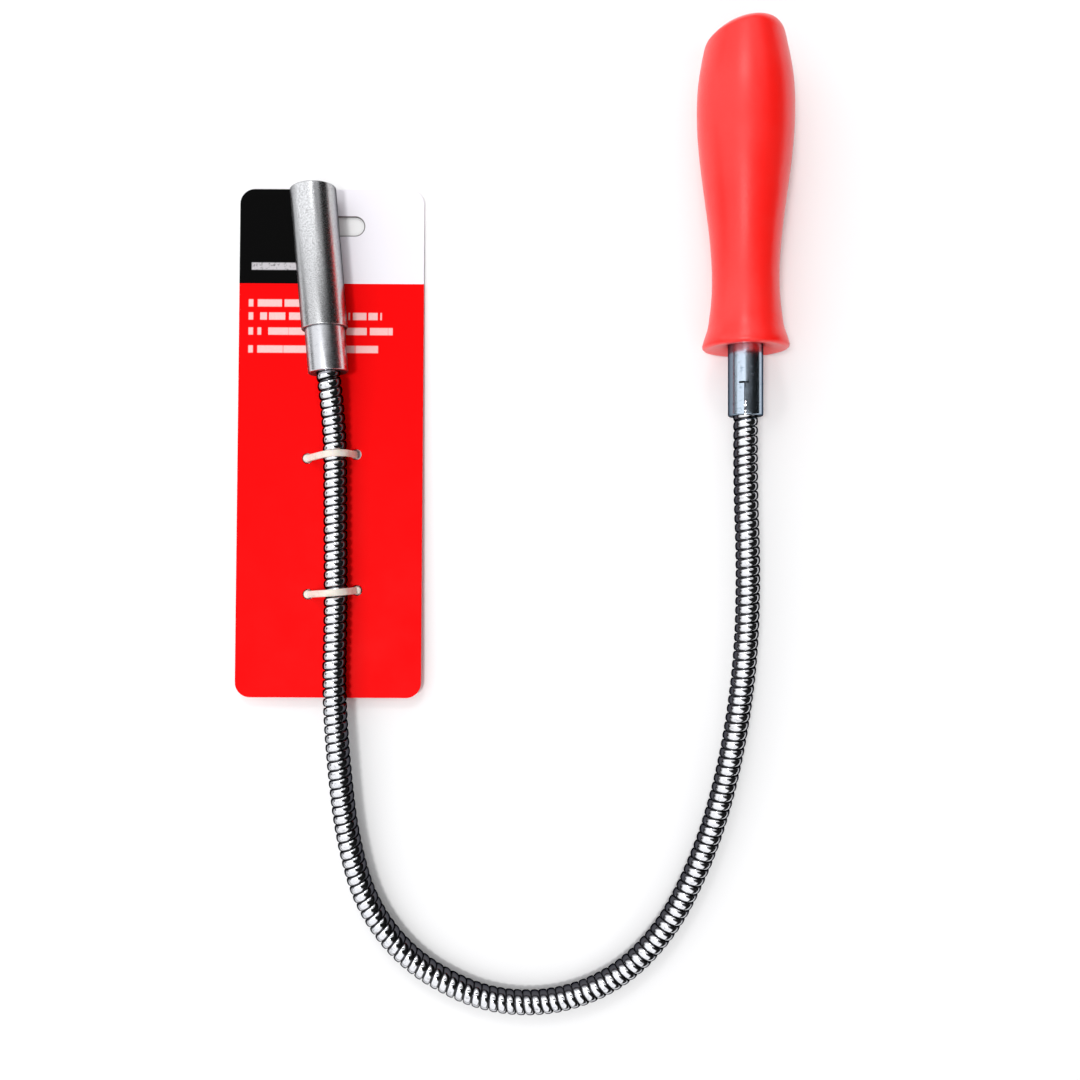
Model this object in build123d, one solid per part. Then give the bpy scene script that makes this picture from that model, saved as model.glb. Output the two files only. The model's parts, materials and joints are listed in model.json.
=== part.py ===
from build123d import *

import os
from math import asin, cos, degrees, pi, radians, sin, tan

# A flexible magnetic pick-up tool: a moulded grip, a steel gooseneck that stays where it is bent, and a
# magnet in an aluminium sleeve at its far end. It lies on a flat surface, bent into a U, with the header card
# that it is sold on still tied to the neck. Millimetres and degrees, +Z up, the surface at Z = 0. The grip
# points along +Y, and the neck leaves it along -Y. The origin is the middle of the footprint.

# ---------------------------------------------------------------------------------------------------------
# Driving dimensions
# ---------------------------------------------------------------------------------------------------------

# Gooseneck: a coil of round wire inside, and a coil of triangular wire wound into the grooves between its turns
TURN_PITCH = 2.75
CREST_RADIUS = 3.65
GROOVE_RADIUS = 3.0
INNER_COIL_RADIUS = 2.3
TIP_RADIUS = 0.5
COIL_SIDES = 10
INNER_COIL_SIDES = 8
MAX_BEND = 28.0
BEND_RELIEF = 1.0

# Stretches of the neck that stay straight, in turns, and the turns held in the ferrule and in the collar
SECTION_TURNS = 8
RING_TURNS = 1
TIED_TURNS = 21
WRIST_TURNS = 5
HEAD_TURNS = 1
HELD_TURNS = 4

# Grip: its side from the mouth, where the ferrule enters, to the butt, whose dome leans to one side
GRIP_LENGTH = 98.0
GRIP_MOUTH_RADIUS = 12.8
GRIP_MOUTH_CHAMFER = 0.9
GRIP_WAIST_RADIUS = 9.95
GRIP_WAIST_FROM_MOUTH = 25.0
GRIP_BELLY_RADIUS = 14.35
GRIP_BELLY_FROM_BUTT = 28.0
GRIP_BUTT_RADIUS = 12.9
GRIP_BUTT_DEPTH = 12.0
GRIP_BUTT_ROUNDING = 7.5
DOME_RADIUS = 18.8
DOME_OFFSET = 4.2
DOME_DROP = 0.3

# Ferrule: a steel tube, slit at its mouth and pinched onto the neck
FERRULE_RADIUS = 5.15
FERRULE_SHOWN = 19.9
FERRULE_SEATED = 26.0
FERRULE_CHAMFER = 0.35
SLIT_WIDTH = 0.6
SLIT_LENGTH = 9.5
CROSS_SLIT_LENGTH = 3.6

# Head: a turned collar on the neck, pressed into the aluminium sleeve that holds the magnet
COLLAR_RADIUS = 6.0
COLLAR_SHOWN = 13.4
COLLAR_SPIGOT = 18.0
COLLAR_CHAMFER = 0.5
SLEEVE_RADIUS = 6.9
SLEEVE_LENGTH = 43.0
SLEEVE_CHAMFER = 0.4
KEEPER_THICKNESS = 5.0
MAGNET_RECESS = 0.6

# Header card under the neck, and the two plastic ties through it. The card's middle is given along the neck
# from the start of the tied stretch, and to the side of it.
CARD_WIDTH = 57.4
CARD_LENGTH = 158.0
CARD_THICKNESS = 0.5
CARD_CORNER_RADIUS = 4.6
CARD_AHEAD = 53.7
CARD_ASIDE = 2.4
CARD_SKEW = 0.8
HANG_SLOT_LENGTH = 20.0
HANG_SLOT_WIDTH = 5.8
HANG_SLOT_DROP = 11.6
TIE_TURNS = (2.6, 17.9)
TIE_SPAN = 15.2
TIE_WIDTH = 2.1
TIE_THICKNESS = 0.9
TIE_BEND = 0.3
TIE_ASIDE = 1.9
TIE_SKEW = 4.0
TIE_STUB_RADIUS = 1.3
TIE_STUB_HEIGHT = 0.6
TIE_HOLE_CLEARANCE = 0.35

# Clearances
HELD_CLEARANCE = 0.05
PRESS_CLEARANCE = 0.02
CARD_CLEARANCE = 0.3
TIE_CLEARANCE = 0.1
BORE_END_CLEARANCE = 0.5

# ---------------------------------------------------------------------------------------------------------
# Sizes that follow from them
# ---------------------------------------------------------------------------------------------------------

HELD_RADIUS = CREST_RADIUS + HELD_CLEARANCE
HELD_LENGTH = HELD_TURNS * TURN_PITCH
SLEEVE_BORE_RADIUS = COLLAR_RADIUS + PRESS_CLEARANCE
MAGNET_LENGTH = SLEEVE_LENGTH - COLLAR_SPIGOT - KEEPER_THICKNESS - MAGNET_RECESS
CARD_DROP = CREST_RADIUS + CARD_CLEARANCE
CARD_SLOPE = -1.2

# The wrist lifts the head by as much as its sleeve is fatter than the neck, so that both lie along the card.
WRIST_SLOPE = CARD_SLOPE + degrees(asin((SLEEVE_RADIUS - CREST_RADIUS) / (WRIST_TURNS * TURN_PITCH)))

# How the neck lies: each straight stretch from the handle to the head, with its turns, its heading, clockwise
# from above and counted from straight out of the handle, and its slope, which is above 0 where the neck rises.
NECK_LIE = [
    ("root", SECTION_TURNS, 0.0, 0.0),
    ("01", SECTION_TURNS, -2.5, -1.5),
    ("ring_1", RING_TURNS, 0.5, -3.0),
    ("02", SECTION_TURNS, 0.5, -3.5),
    ("03", SECTION_TURNS, 5.5, -4.8),
    ("04", SECTION_TURNS, 10.0, -5.0),
    ("05", SECTION_TURNS, 16.0, -4.75),
    ("ring_2", RING_TURNS, 25.0, -4.0),
    ("06", SECTION_TURNS, 25.0, -3.5),
    ("07", SECTION_TURNS, 43.0, -2.5),
    ("08", SECTION_TURNS, 68.0, -1.5),
    ("09", SECTION_TURNS, 93.0, -0.3),
    ("ring_3", RING_TURNS, 118.0, 0.0),
    ("10", SECTION_TURNS, 118.0, 0.3),
    ("11", SECTION_TURNS, 142.5, 3.2),
    ("12", SECTION_TURNS, 165.0, 4.0),
    ("13", SECTION_TURNS, 174.0, 4.1),
    ("ring_4", RING_TURNS, 176.0, 3.0),
    ("14", SECTION_TURNS, 176.0, CARD_SLOPE),
    ("15", SECTION_TURNS, 181.5, CARD_SLOPE),
    ("tied", TIED_TURNS, 179.5, CARD_SLOPE),
    ("wrist", WRIST_TURNS, 175.0, WRIST_SLOPE),
    ("head", HEAD_TURNS, 175.0, CARD_SLOPE),
]


# ---------------------------------------------------------------------------------------------------------
# Gooseneck. Each stretch is built along +Z from its first joint.
# ---------------------------------------------------------------------------------------------------------


def end_slope():
    """How far a coned end falls back for each millimetre from the axis, so that two ends can rock on each other."""
    return tan(radians((MAX_BEND + BEND_RELIEF) / 2))


def coned_end(*radii):
    """Points of a coned end as (height, radius), from its flat tip out to each of the radii."""
    return [(radius * end_slope(), radius) for radius in (TIP_RADIUS, *radii)]


def closed_outline(start, middle, end, length):
    """A stretch's outline: its first end, what lies between, and its last end, given from the other way round."""
    return start + middle + [(length - height, radius) for height, radius in reversed(end)]


def sided_bar(outline, sides):
    """A bar that has one outline, a list of (height, radius), at each of its corners.

    A slab has the outline on two opposite sides. The bar is what such slabs share, one for each pair of sides."""
    flat = cos(pi / sides)
    right = [(radius * flat, height) for height, radius in outline]
    left = [(-x, height) for x, height in reversed(right)]
    slab = extrude(Plane.XZ * make_face(Polyline(*right, *left, close=True)), amount=2 * CREST_RADIUS, both=True)
    bar = slab
    for k in range(1, sides // 2):
        bar &= Rot(Z=k * 360 / sides) * slab
    return bar


def outer_coil(turns):
    """The triangular wire of a stretch: a ridge for each turn, bored for the round wire, coned at both ends."""
    flank = (CREST_RADIUS - GROOVE_RADIUS) / (TURN_PITCH / 2)
    rim_radius = GROOVE_RADIUS / (1 - flank * end_slope())
    ridges = [(TURN_PITCH / 2, CREST_RADIUS)]
    for k in range(1, turns):
        ridges += [(k * TURN_PITCH, GROOVE_RADIUS), ((k + 0.5) * TURN_PITCH, CREST_RADIUS)]
    end = coned_end(rim_radius)
    length = turns * TURN_PITCH
    return sided_bar(closed_outline(end, ridges, end, length), COIL_SIDES) - core(length)


def inner_coil(turns):
    """The round wire of a stretch, drawn as the rod that its closed turns fill, coned at both ends."""
    end = coned_end(INNER_COIL_RADIUS)
    return sided_bar(closed_outline(end, [], end, turns * TURN_PITCH), INNER_COIL_SIDES)


def core(length):
    """The space that the round wire takes up, a little past both ends of a stretch."""
    rod = extrude(RegularPolygon(INNER_COIL_RADIUS, INNER_COIL_SIDES), amount=length + 2 * TURN_PITCH)
    return Pos(Z=-TURN_PITCH) * Rot(Z=180 / INNER_COIL_SIDES) * rod


# ---------------------------------------------------------------------------------------------------------
# Handle. Built along +Z from the mouth of the ferrule.
# ---------------------------------------------------------------------------------------------------------


def rim_edges(solid, radius, *heights):
    """The circular edges of a turned piece that have one radius and lie at the heights."""
    circles = [e for e in solid.edges().filter_by(GeomType.CIRCLE) if abs(e.radius - radius) < 0.01]
    return [e for e in circles if any(abs(e.arc_center.Z - height) < 0.01 for height in heights)]


def handle_ferrule():
    """The steel tube, with a T-shaped slit at its mouth that lets it close on the neck."""
    tube = extrude(Circle(FERRULE_RADIUS) - Circle(HELD_RADIUS), amount=FERRULE_SHOWN + FERRULE_SEATED)
    tube = chamfer(rim_edges(tube, FERRULE_RADIUS, 0), FERRULE_CHAMFER)
    slit = Pos(0, FERRULE_RADIUS / 2, SLIT_LENGTH / 2) * Box(SLIT_WIDTH, FERRULE_RADIUS, SLIT_LENGTH)
    cross_slit = Pos(0, FERRULE_RADIUS / 2, SLIT_LENGTH) * Box(CROSS_SLIT_LENGTH, FERRULE_RADIUS, SLIT_WIDTH)
    return tube - slit - cross_slit


def turned_grip():
    """The grip without its dome: a side that swells from a waist to a belly, and a rounded butt."""
    side = Spline(
        (GRIP_MOUTH_RADIUS, GRIP_MOUTH_CHAMFER),
        (GRIP_WAIST_RADIUS, GRIP_WAIST_FROM_MOUTH),
        (GRIP_BELLY_RADIUS, GRIP_LENGTH - GRIP_BELLY_FROM_BUTT),
        (GRIP_BUTT_RADIUS, GRIP_LENGTH - GRIP_BUTT_DEPTH),
    )
    closing = side % 1
    corner = side @ 1 + closing * (GRIP_BUTT_DEPTH / closing.Y)
    butt = FilletPolyline(side @ 1, corner, (0, GRIP_LENGTH), radius=GRIP_BUTT_ROUNDING)
    mouth = Polyline((0, GRIP_LENGTH), (0, 0), (GRIP_MOUTH_RADIUS - GRIP_MOUTH_CHAMFER, 0), side @ 0)
    return revolve(Plane.XZ * make_face([side, butt, mouth]), Axis.Z)


def dome_envelope():
    """The space under a dome whose top is at the origin, as wide as the dome for a whole grip's length."""
    arc = CenterArc((0, -DOME_RADIUS), DOME_RADIUS, 0, 90)
    rest = Polyline(arc @ 1, (0, -GRIP_LENGTH), (DOME_RADIUS, -GRIP_LENGTH), arc @ 0)
    return revolve(Plane.XZ * make_face([arc, rest]), Axis.Z)


def handle_grip():
    """The moulded grip, its butt cut back to a dome that leans to one side, with a socket for the ferrule."""
    socket = extrude(Circle(FERRULE_RADIUS + PRESS_CLEARANCE), amount=FERRULE_SEATED + PRESS_CLEARANCE)
    grip = turned_grip() & Pos(DOME_OFFSET, 0, GRIP_LENGTH - DOME_DROP) * dome_envelope()
    return Pos(Z=FERRULE_SHOWN) * (grip - socket)


# ---------------------------------------------------------------------------------------------------------
# Head. Built along +Z from the mouth of the collar.
# ---------------------------------------------------------------------------------------------------------


def head_collar():
    """The collar that the neck is pressed into, with a spigot that the sleeve is pressed over."""
    bar = extrude(Circle(COLLAR_RADIUS), amount=COLLAR_SHOWN + COLLAR_SPIGOT)
    bar = chamfer(rim_edges(bar, COLLAR_RADIUS, 0), COLLAR_CHAMFER)
    return bar - extrude(Circle(HELD_RADIUS), amount=HELD_LENGTH + BORE_END_CLEARANCE)


def head_sleeve():
    """The aluminium sleeve over the collar's spigot, the keeper disc and the magnet."""
    tube = extrude(Circle(SLEEVE_RADIUS) - Circle(SLEEVE_BORE_RADIUS), amount=SLEEVE_LENGTH)
    tube = chamfer(rim_edges(tube, SLEEVE_RADIUS, 0, SLEEVE_LENGTH), SLEEVE_CHAMFER)
    return Pos(Z=COLLAR_SHOWN) * tube


def keeper_disc():
    """The steel disc behind the magnet, which turns its field towards the tip."""
    return Pos(Z=COLLAR_SHOWN + COLLAR_SPIGOT) * extrude(Circle(COLLAR_RADIUS), amount=KEEPER_THICKNESS)


def magnet():
    """The magnet, a little back from the sleeve's rim."""
    start = COLLAR_SHOWN + COLLAR_SPIGOT + KEEPER_THICKNESS
    return Pos(Z=start) * extrude(Circle(COLLAR_RADIUS), amount=MAGNET_LENGTH)


# ---------------------------------------------------------------------------------------------------------
# Header card and ties. Built flat, with +Z up from the card's top face and +Y along the tied stretch, which
# starts over the origin.
# ---------------------------------------------------------------------------------------------------------


def tie_places():
    """Where each tie crosses the neck, with its middle a little to one side."""
    return [Pos(-TIE_ASIDE, turn * TURN_PITCH) * Rot(Z=TIE_SKEW) for turn in TIE_TURNS]


def card_place():
    """The middle of the card, turned a little out of line with the neck."""
    return Pos(-CARD_ASIDE, CARD_AHEAD) * Rot(Z=-CARD_SKEW)


def hang_slot_place():
    """The middle of the slot that the card hangs by."""
    return card_place() * Pos(Y=CARD_LENGTH / 2 - HANG_SLOT_DROP)


def header_card():
    """The printed card, with its hanging slot and a round hole for each leg of the ties."""
    sheet = card_place() * RectangleRounded(CARD_WIDTH, CARD_LENGTH, CARD_CORNER_RADIUS)
    sheet -= hang_slot_place() * SlotOverall(HANG_SLOT_LENGTH, HANG_SLOT_WIDTH)
    for place in tie_places():
        for side in (-1, 1):
            sheet -= place * Pos(X=side * TIE_SPAN / 2) * Circle(TIE_STUB_RADIUS + TIE_HOLE_CLEARANCE)
    return extrude(sheet, amount=-CARD_THICKNESS)


def tie_outline(growth):
    """The inside of a tie's taut loop, or its outside where it is grown by the strap's thickness."""
    over_neck = Pos(TIE_ASIDE, CARD_DROP) * Circle(CREST_RADIUS + TIE_CLEARANCE + growth)
    aside = (TIE_SPAN - TIE_THICKNESS) / 2 - TIE_BEND
    under_card = TIE_BEND - CARD_THICKNESS - TIE_CLEARANCE
    feet = [Pos(side * aside, under_card) * Circle(TIE_BEND + growth) for side in (-1, 1)]
    return make_hull([shape.edge() for shape in (over_neck, *feet)])


def tie(stub_sides):
    """A flat plastic strap that arches over the neck, through the card and under it, with a stub on some legs."""
    outline = tie_outline(TIE_THICKNESS) - tie_outline(0)
    strap = extrude(Plane.XZ * outline, amount=TIE_WIDTH / 2, both=True)
    height = CARD_THICKNESS + TIE_CLEARANCE + TIE_STUB_HEIGHT
    for side in stub_sides:
        stub = extrude(Circle(TIE_STUB_RADIUS), amount=height)
        strap += Pos(side * TIE_SPAN / 2, 0, TIE_STUB_HEIGHT - height) * stub
    return strap


# ---------------------------------------------------------------------------------------------------------
# Assembly
# ---------------------------------------------------------------------------------------------------------


def neck_places():
    """The start of each stretch, with +Z along the neck, +X level and +Y up, and the mouth of the collar last."""
    point = Vector(0, 0, 0)
    places = {}
    for name, turns, heading, slope in [*NECK_LIE, ("collar", 0, *NECK_LIE[-1][2:])]:
        turn, rise = radians(heading), radians(slope)
        along = Vector(-sin(turn) * cos(rise), -cos(turn) * cos(rise), sin(rise))
        across = Vector(cos(turn), -sin(turn), 0)
        places[name] = Location(Plane(origin=point, x_dir=across, z_dir=along))
        point += along * (turns * TURN_PITCH)
    return places


def card_level(places):
    """The card's top face under the start of the tied stretch, with +Y along the neck and +Z up."""
    return places["tied"] * Location(Plane(origin=(0, -CARD_DROP, 0), x_dir=(-1, 0, 0), z_dir=(0, 1, 0)))


def neck_pieces(places):
    """Both wires of each stretch. The first and last stretches run on into the ferrule and the collar."""
    made = {}
    pieces = {}
    for name, turns, _, _ in NECK_LIE:
        before = HELD_TURNS if name == "root" else 0
        after = HELD_TURNS if name == "head" else 0
        turns += before + after
        if turns not in made:
            made[turns] = outer_coil(turns), inner_coil(turns)
        place = places[name] * Pos(Z=-before * TURN_PITCH)
        for kind, coil in zip(("outer_coil_", "inner_coil_"), made[turns]):
            pieces[kind + name] = place * coil
    return pieces


def assemble():
    """Every piece by the name of its node, and the places of the stretches, with the origin under the middle."""
    places = neck_places()
    mouth = places["root"] * Rot(X=180)
    head = places["collar"]
    card = card_level(places)
    first_tie, last_tie = tie_places()
    pieces = {
        "handle_grip": mouth * handle_grip(),
        "handle_ferrule": mouth * Rot(Z=180) * handle_ferrule(),
        **neck_pieces(places),
        "head_collar": head * head_collar(),
        "head_sleeve": head * head_sleeve(),
        "keeper_disc": head * keeper_disc(),
        "magnet": head * magnet(),
        "header_card": card * header_card(),
        "tie_lower": card * first_tie * tie((-1, 1)),
        "tie_upper": card * last_tie * tie((-1,)),
    }
    box = Compound(list(pieces.values())).bounding_box()
    centre = box.center()
    shift = Pos(-centre.X, -centre.Y, -box.min.Z)
    return {name: shift * piece for name, piece in pieces.items()}, shift


def main():
    """Writes each piece to its own file."""
    os.makedirs("parts", exist_ok=True)
    pieces, _ = assemble()
    for name, piece in pieces.items():
        export_step(piece, f"parts/{name}.step")


if __name__ == "__main__":
    main()
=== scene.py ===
"""The looks of a flexible magnetic pick-up tool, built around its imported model."""

import itertools
import json
import logging
import math
from collections.abc import Sequence
from dataclasses import dataclass, field
from enum import Enum

import bmesh
import bpy
import numpy as np
from mathutils import Matrix, Vector

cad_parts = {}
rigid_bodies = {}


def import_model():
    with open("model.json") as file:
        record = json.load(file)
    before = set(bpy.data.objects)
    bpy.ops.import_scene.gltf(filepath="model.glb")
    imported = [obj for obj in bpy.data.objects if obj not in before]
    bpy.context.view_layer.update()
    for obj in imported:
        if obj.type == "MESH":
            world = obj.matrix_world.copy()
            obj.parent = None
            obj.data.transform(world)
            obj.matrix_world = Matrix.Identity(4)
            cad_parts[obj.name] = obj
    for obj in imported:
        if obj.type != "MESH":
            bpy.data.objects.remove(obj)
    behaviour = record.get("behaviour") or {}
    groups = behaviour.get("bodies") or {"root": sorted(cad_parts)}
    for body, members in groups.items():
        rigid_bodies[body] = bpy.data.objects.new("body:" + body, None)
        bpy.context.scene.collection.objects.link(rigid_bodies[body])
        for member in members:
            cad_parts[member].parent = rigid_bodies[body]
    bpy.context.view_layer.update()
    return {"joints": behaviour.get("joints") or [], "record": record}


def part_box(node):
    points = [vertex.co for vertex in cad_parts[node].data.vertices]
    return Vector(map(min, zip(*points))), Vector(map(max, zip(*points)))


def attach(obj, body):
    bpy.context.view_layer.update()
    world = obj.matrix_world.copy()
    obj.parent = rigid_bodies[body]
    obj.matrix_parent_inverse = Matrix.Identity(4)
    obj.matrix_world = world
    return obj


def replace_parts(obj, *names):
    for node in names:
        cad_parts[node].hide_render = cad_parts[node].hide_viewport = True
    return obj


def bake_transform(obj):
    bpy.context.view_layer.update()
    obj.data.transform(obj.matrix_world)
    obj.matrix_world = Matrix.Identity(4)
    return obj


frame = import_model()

MM = 0.001
PITCH = 2.75
UP = Vector((0, 0, 1))
log = logging.getLogger("pickup_tool")

Grid = list[list[Vector]]
Outline = Sequence[tuple[float, float]]
Colour = tuple[float, ...]


class Slot(Enum):
    """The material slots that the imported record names."""

    GRIP = "grip_red"
    FERRULE = "ferrule_steel"
    COIL = "coil_steel"
    CORE = "core_steel"
    COLLAR = "collar_steel"
    SLEEVE = "sleeve_metal"
    KEEPER = "keeper_steel"
    MAGNET = "magnet_metal"
    CARD = "card_board"
    TIE = "tie_plastic"


# ---------------------------------------------------------------------------------------------------------
# Shader building
# ---------------------------------------------------------------------------------------------------------


class Value:
    """A number that varies over a surface, held by a node's output socket."""

    def __init__(self, tree: "Tree", socket: bpy.types.NodeSocket) -> None:
        """Wraps a socket.

        Args:
            tree: The tree that the socket's node is in.
            socket: The output socket.
        """
        self.tree = tree
        self.socket = socket

    def math(self, operation: str, *operands: "Value | float", first: bool = True) -> "Value":
        """A Math node on this value.

        Args:
            operation: The node's operation.
            operands: Its other inputs, in order.
            first: Whether this value comes before the operands.

        Returns:
            The node's result.
        """
        inputs = [self, *operands] if first else [*operands, self]
        return self.tree.node("ShaderNodeMath", {"operation": operation}, dict(enumerate(inputs)))

    def __add__(self, other: "Value | float") -> "Value":
        """This plus another."""
        return self.math("ADD", other)

    __radd__ = __add__

    def __mul__(self, other: "Value | float") -> "Value":
        """This times another."""
        return self.math("MULTIPLY", other)

    __rmul__ = __mul__

    def __sub__(self, other: "Value | float") -> "Value":
        """This less another."""
        return self.math("SUBTRACT", other)

    def __rsub__(self, other: "Value | float") -> "Value":
        """Another less this."""
        return self.math("SUBTRACT", other, first=False)

    def __pow__(self, other: "Value | float") -> "Value":
        """This to a power."""
        return self.math("POWER", other)

    def __gt__(self, other: "Value | float") -> "Value":
        """1 where this is above another, and 0 elsewhere."""
        return self.math("GREATER_THAN", other)

    def __lt__(self, other: "Value | float") -> "Value":
        """1 where this is below another, and 0 elsewhere."""
        return self.math("LESS_THAN", other)

    def __abs__(self) -> "Value":
        """The value without its sign."""
        return self.math("ABSOLUTE")

    def ramp(self, start: float, end: float) -> "Value":
        """This rescaled so that start becomes 0 and end becomes 1, smoothly and no further.

        Args:
            start: What becomes 0.
            end: What becomes 1.

        Returns:
            The rescaled value.
        """
        settings = {"interpolation_type": "SMOOTHSTEP", "clamp": True}
        return self.tree.node("ShaderNodeMapRange", settings, {"Value": self, "From Min": start, "From Max": end})

    def window(self, start: float, full: float, fade: float, end: float) -> "Value":
        """1 over a stretch of this value and 0 outside it, with soft edges.

        Args:
            start: Where it starts to rise from 0.
            full: Where it reaches 1.
            fade: Where it starts to fall from 1.
            end: Where it is 0 again.

        Returns:
            The mask.
        """
        return self.ramp(start, full) * self.ramp(end, fade)

    def larger(self, other: "Value | float") -> "Value":
        """The larger of this and another."""
        return self.math("MAXIMUM", other)


Input = Value | float | Sequence[float] | str


class Tree:
    """A node tree that nodes are added to."""

    def __init__(self, tree: bpy.types.NodeTree) -> None:
        """Empties a tree and takes it over.

        Args:
            tree: The tree of a material or a world.
        """
        self.tree = tree
        tree.nodes.clear()

    def node(
        self,
        kind: str,
        settings: dict[str, object] | None = None,
        inputs: dict[str | int, Input] | None = None,
        output: str | int = 0,
    ) -> Value:
        """Adds one node.

        Args:
            kind: The node's type.
            settings: Its properties, which are set first.
            inputs: Values and links for its sockets, by name or number.
            output: The socket to give back.

        Returns:
            The node's output socket, or its first input where it has no output.
        """
        made = self.tree.nodes.new(kind)
        for name, setting in (settings or {}).items():
            setattr(made, name, setting)
        for name, given in (inputs or {}).items():
            if isinstance(given, Value):
                self.tree.links.new(given.socket, made.inputs[name])
            else:
                made.inputs[name].default_value = given
        return Value(self, made.outputs[output] if len(made.outputs) else made.inputs[0])

    def place(self) -> Value:
        """The point on the object, in metres."""
        return self.node("ShaderNodeTexCoord", output="Object")

    def split(self, vector: Value) -> tuple[Value, Value, Value]:
        """The three parts of a vector.

        Args:
            vector: The vector.

        Returns:
            Its x, y and z.
        """
        first = self.node("ShaderNodeSeparateXYZ", inputs={0: vector})
        return first, *(Value(self, first.socket.node.outputs[k]) for k in (1, 2))

    def along(self) -> tuple[Value, Value]:
        """The two surface coordinates, in metres across and along the piece."""
        return self.split(self.node("ShaderNodeUVMap", {"uv_map": "run"}))[:2]

    def upward(self) -> Value:
        """How far the piece's surface faces up where it was made, from -1 to 1."""
        return self.split(self.node("ShaderNodeTexCoord", output="Normal"))[2]

    def noise(self, scale: float, where: Value | None = None, detail: float = 3.0, roughness: float = 0.5) -> Value:
        """Fine variation from 0 to 1.

        Args:
            scale: Its scale in cycles for each metre.
            where: The coordinates that it follows, or None for the point on the object.
            detail: Its octaves.
            roughness: How strong the finer octaves are.

        Returns:
            The noise's value.
        """
        inputs = {"Vector": where or self.place(), "Scale": scale, "Detail": detail, "Roughness": roughness}
        return self.node("ShaderNodeTexNoise", inputs=inputs)

    def stretched(self, across: float, along: float) -> Value:
        """Surface coordinates scaled apart, for marks that run one way.

        Args:
            across: Scale of the first coordinate.
            along: Scale of the second.

        Returns:
            The coordinates.
        """
        first, second = self.along()
        return self.node("ShaderNodeCombineXYZ", inputs={0: first * across, 1: second * along})

    def mix(self, factor: Value | float, first: Input, second: Input) -> Value:
        """A colour between two others.

        Args:
            factor: 0 for the first and 1 for the second.
            first: The first colour.
            second: The second colour.

        Returns:
            The mixed colour.
        """
        settings = {"data_type": "RGBA"}
        return self.node("ShaderNodeMix", settings, {0: factor, 6: first, 7: second}, output=2)

    def bump(self, height: Value, distance: float, strength: float = 1.0) -> Value:
        """A bumped normal.

        Args:
            height: The height, from 0 to 1.
            distance: What 1 stands for, in metres.
            strength: How strongly it shows.

        Returns:
            The normal.
        """
        inputs = {"Height": height, "Distance": distance, "Strength": strength}
        return self.node("ShaderNodeBump", inputs=inputs)


def rgb(red: float, green: float, blue: float) -> Colour:
    """A linear colour with its alpha."""
    return (red, green, blue, 1.0)


@dataclass(frozen=True)
class Finish:
    """A surface finish with one principled shader.

    Attributes:
        name: The material's name.
        slot: The record's slot that it stands for; it is not used.
        constants: Values that are the same all over, by socket.
    """

    name: str
    slot: Slot
    constants: dict[str, float] = field(default_factory=dict)

    def varying(self, tree: Tree) -> dict[str | int, Input]:
        """What changes over the surface.

        Args:
            tree: The material's tree.

        Returns:
            Links for the shader's sockets.
        """
        return {}

    def material(self) -> bpy.types.Material:
        """Makes the finish's material on first use.

        Returns:
            The material.
        """
        found = bpy.data.materials.get(self.name)
        if found:
            return found
        made = bpy.data.materials.new(self.name)
        made.use_nodes = True
        tree = Tree(made.node_tree)
        shader = tree.node("ShaderNodeBsdfPrincipled", inputs={**self.constants, **self.varying(tree)})
        tree.node("ShaderNodeOutputMaterial", inputs={"Surface": shader})
        return made


@dataclass(frozen=True)
class MouldedGrip(Finish):
    """Glossy moulded plastic, a little clouded, with a fine eggshell skin.

    Attributes:
        body: The plastic's own colour.
        cloud: Its colour where it is clouded.
        clouds: Scale of the clouds.
        marks: Scale of the handling marks.
        skin: Scale of the eggshell.
        smears: Scale of the smears along it.
        gloss: Roughness where it is clean.
        depth: Depth of the eggshell in metres.
    """

    body: Colour = rgb(1.0, 0.010, 0.007)
    cloud: Colour = rgb(1.0, 0.018, 0.014)
    clouds: float = 55.0
    marks: float = 900.0
    skin: float = 2600.0
    smears: float = 180.0
    gloss: float = 0.27
    depth: float = 0.00002

    def varying(self, tree: Tree) -> dict[str | int, Input]:
        """Clouded colour, and a gloss broken by handling marks.

        Args:
            tree: The material's tree.

        Returns:
            Links for the shader's sockets.
        """
        cloud = tree.noise(self.clouds, detail=4.0).ramp(0.35, 0.7)
        marks = tree.noise(self.marks, detail=4.0, roughness=0.6)
        skin = tree.noise(self.skin, detail=2.0)
        smear = tree.noise(self.smears, tree.stretched(1.0, 0.25), detail=5.0)
        return {
            "Base Color": tree.mix(cloud, self.body, self.cloud),
            "Roughness": self.gloss + 0.10 * marks + 0.12 * smear.ramp(0.45, 0.8),
            "Normal": tree.bump(skin + 2.0 * marks, self.depth),
        }


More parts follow.
